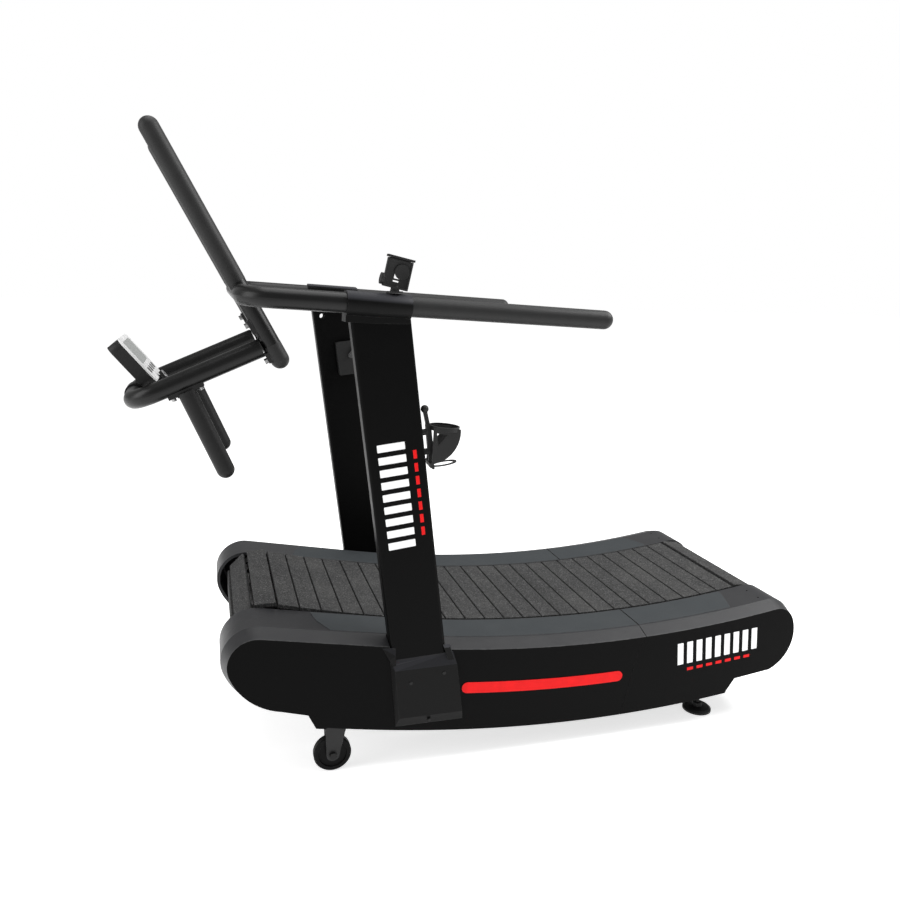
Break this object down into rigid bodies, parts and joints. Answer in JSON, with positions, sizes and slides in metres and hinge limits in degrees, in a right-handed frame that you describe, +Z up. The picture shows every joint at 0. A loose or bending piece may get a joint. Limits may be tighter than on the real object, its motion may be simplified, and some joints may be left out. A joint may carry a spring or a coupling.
{
  "type": "curved manual treadmill",
  "caption": "Curved manual treadmill with a slatted belt, two uprights, a U handrail, push arms, sled handles, console, transport wheels and levelling feet.",
  "frame": {"origin": "on the floor under the middle of the machine's bounding box", "axes": "+X from the console end to the rear of the deck, +Y to the runner's right, +Z up"},
  "size_m": [1.946, 0.818, 1.637],
  "materials": {
    "frame_steel": "satin",
    "bearing_iron": "matte",
    "roller_steel": "satin",
    "carrier_rubber": "matte",
    "slat_rubber": "speckled matte",
    "panel_black": "satin",
    "cap_grey": "satin",
    "pad_rubber": "matte",
    "stripe_red": "gloss",
    "post_black": "satin",
    "boot_plastic": "satin",
    "tube_black": "satin",
    "foam_black": "matte foam",
    "console_black": "matte",
    "console_silver": "satin silver",
    "screen_glass": "gloss",
    "key_grey": "matte",
    "cable_black": "matte",
    "lever_grey": "matte",
    "wheel_rubber": "satin",
    "foot_rubber": "matte",
    "drum_aluminium": "satin",
    "magnet_steel": "zinc plated",
    "zinc": "zinc plated"
  },
  "bodies": {
    "frame": {"side_frame_left": "frame_steel", "side_frame_right": "frame_steel", "base_rail_left": "frame_steel", "base_rail_right": "frame_steel", "cross_members": "frame_steel", "post_outriggers": "frame_steel", "bearing_blocks": "bearing_iron", "track_rollers": "roller_steel", "carrier_belts": "carrier_rubber", "slat_belt": "slat_rubber", "side_panel_front_left": "panel_black", "side_panel_front_right": "panel_black", "side_panel_rear_left": "panel_black", "side_panel_rear_right": "panel_black", "deck_cap_front_left": "cap_grey", "deck_cap_front_right": "cap_grey", "deck_cap_rear_left": "cap_grey", "deck_cap_rear_right": "cap_grey", "foot_pads": "pad_rubber", "accent_stripes": "stripe_red", "post_left": "post_black", "post_right": "post_black", "post_boot_left": "boot_plastic", "post_boot_right": "boot_plastic", "post_cap_left": "boot_plastic", "post_cap_right": "boot_plastic", "handrail": "tube_black", "rail_grips": "foam_black", "push_arms": "tube_black", "arm_sleeves": "foam_black", "console_hoop": "tube_black", "hoop_brackets": "frame_steel", "sled_handles": "foam_black", "console_bracket": "frame_steel", "console_pivot_knob": "console_black", "console_cable": "cable_black", "phone_holder_base": "console_black", "bottle_cage": "console_black", "shifter_housing": "console_black", "wheel_brackets": "frame_steel", "drive_belt": "carrier_rubber", "fasteners": "zinc"},
    "front_drum": {"front_drum": "drum_aluminium"},
    "rear_drum": {"rear_drum": "drum_aluminium"},
    "fan": {"fan_rotor": "drum_aluminium"},
    "yoke": {"magnet_yoke": "magnet_steel"},
    "lever": {"shifter_lever": "lever_grey"},
    "wheel_l": {"wheel_left": "wheel_rubber"},
    "wheel_r": {"wheel_right": "wheel_rubber"},
    "foot_l": {"foot_left": "foot_rubber"},
    "foot_r": {"foot_right": "foot_rubber"},
    "console": {"console_housing": "console_black", "console_face": "console_silver", "console_screen": "screen_glass"},
    "key_1": {"console_key_1": "key_grey"},
    "key_2": {"console_key_2": "key_grey"},
    "key_3": {"console_key_3": "key_grey"},
    "key_4": {"console_key_4": "key_grey"},
    "phone_plate": {"phone_holder_back": "console_black"},
    "phone_jaw": {"phone_holder_jaw": "console_black"}
  },
  "joints": [
    {"name": "front_drum_spin", "type": "hinge", "parent": "frame", "child": "front_drum", "pos_m": [-0.601, 0, 0.33932], "axis": [0, 1, 0], "continuous": true},
    {"name": "rear_drum_spin", "type": "hinge", "parent": "frame", "child": "rear_drum", "pos_m": [0.87355, 0, 0.27107], "axis": [0, 1, 0], "continuous": true},
    {"name": "fan_spin", "type": "hinge", "parent": "frame", "child": "fan", "pos_m": [-0.40015, 0.3, 0.28949], "axis": [0, 1, 0], "continuous": true},
    {"name": "magnet_yoke_swing", "type": "hinge", "parent": "frame", "child": "yoke", "pos_m": [-0.34215, 0.28, 0.35149], "axis": [0, 1, 0], "range_deg": [0, 12]},
    {"name": "shifter_lever_swing", "type": "hinge", "parent": "frame", "child": "lever", "pos_m": [-0.29, 0.31, 1.036], "axis": [0, 1, 0], "range_deg": [0, 48]},
    {"name": "left_wheel_spin", "type": "hinge", "parent": "frame", "child": "wheel_l", "pos_m": [-0.446, -0.345, 0.05], "axis": [0, 1, 0], "continuous": true},
    {"name": "right_wheel_spin", "type": "hinge", "parent": "frame", "child": "wheel_r", "pos_m": [-0.446, 0.345, 0.05], "axis": [0, 1, 0], "continuous": true},
    {"name": "left_foot_height", "type": "slide", "parent": "frame", "child": "foot_l", "axis": [0, 0, 1], "range_m": [-0.02, 0]},
    {"name": "right_foot_height", "type": "slide", "parent": "frame", "child": "foot_r", "axis": [0, 0, 1], "range_m": [-0.02, 0]},
    {"name": "console_tilt", "type": "hinge", "parent": "frame", "child": "console", "pos_m": [-0.85, 0, 0.975], "axis": [0, 1, 0], "range_deg": [-9, 25], "deforming": ["console_cable"]},
    {"name": "key_1_press", "type": "slide", "parent": "console", "child": "key_1", "axis": [-0.7683, 0, -0.6401], "range_m": [0, 0.0012], "stiffness_N_per_m": 1500, "springref_m": -0.001},
    {"name": "key_2_press", "type": "slide", "parent": "console", "child": "key_2", "axis": [-0.7683, 0, -0.6401], "range_m": [0, 0.0012], "stiffness_N_per_m": 1500, "springref_m": -0.001},
    {"name": "key_3_press", "type": "slide", "parent": "console", "child": "key_3", "axis": [-0.7683, 0, -0.6401], "range_m": [0, 0.0012], "stiffness_N_per_m": 1500, "springref_m": -0.001},
    {"name": "key_4_press", "type": "slide", "parent": "console", "child": "key_4", "axis": [-0.7683, 0, -0.6401], "range_m": [0, 0.0012], "stiffness_N_per_m": 1500, "springref_m": -0.001},
    {"name": "phone_plate_swivel", "type": "hinge", "parent": "frame", "child": "phone_plate", "pos_m": [-0.305, -0.38, 1.2622], "axis": [0, 0, 1], "range_deg": [-90, 90]},
    {"name": "phone_jaw_open", "type": "slide", "parent": "phone_plate", "child": "phone_jaw", "axis": [0.2079, 0, 0.9781], "range_m": [0, 0.025], "stiffness_N_per_m": 400, "springref_m": -0.002}
  ],
  "couplings": [
    {"joint": "rear_drum_spin", "follows": "front_drum_spin", "ratio": 1},
    {"joint": "fan_spin", "follows": "front_drum_spin", "ratio": 2.5},
    {"joint": "magnet_yoke_swing", "follows": "shifter_lever_swing", "ratio": 0.25}
  ]
}
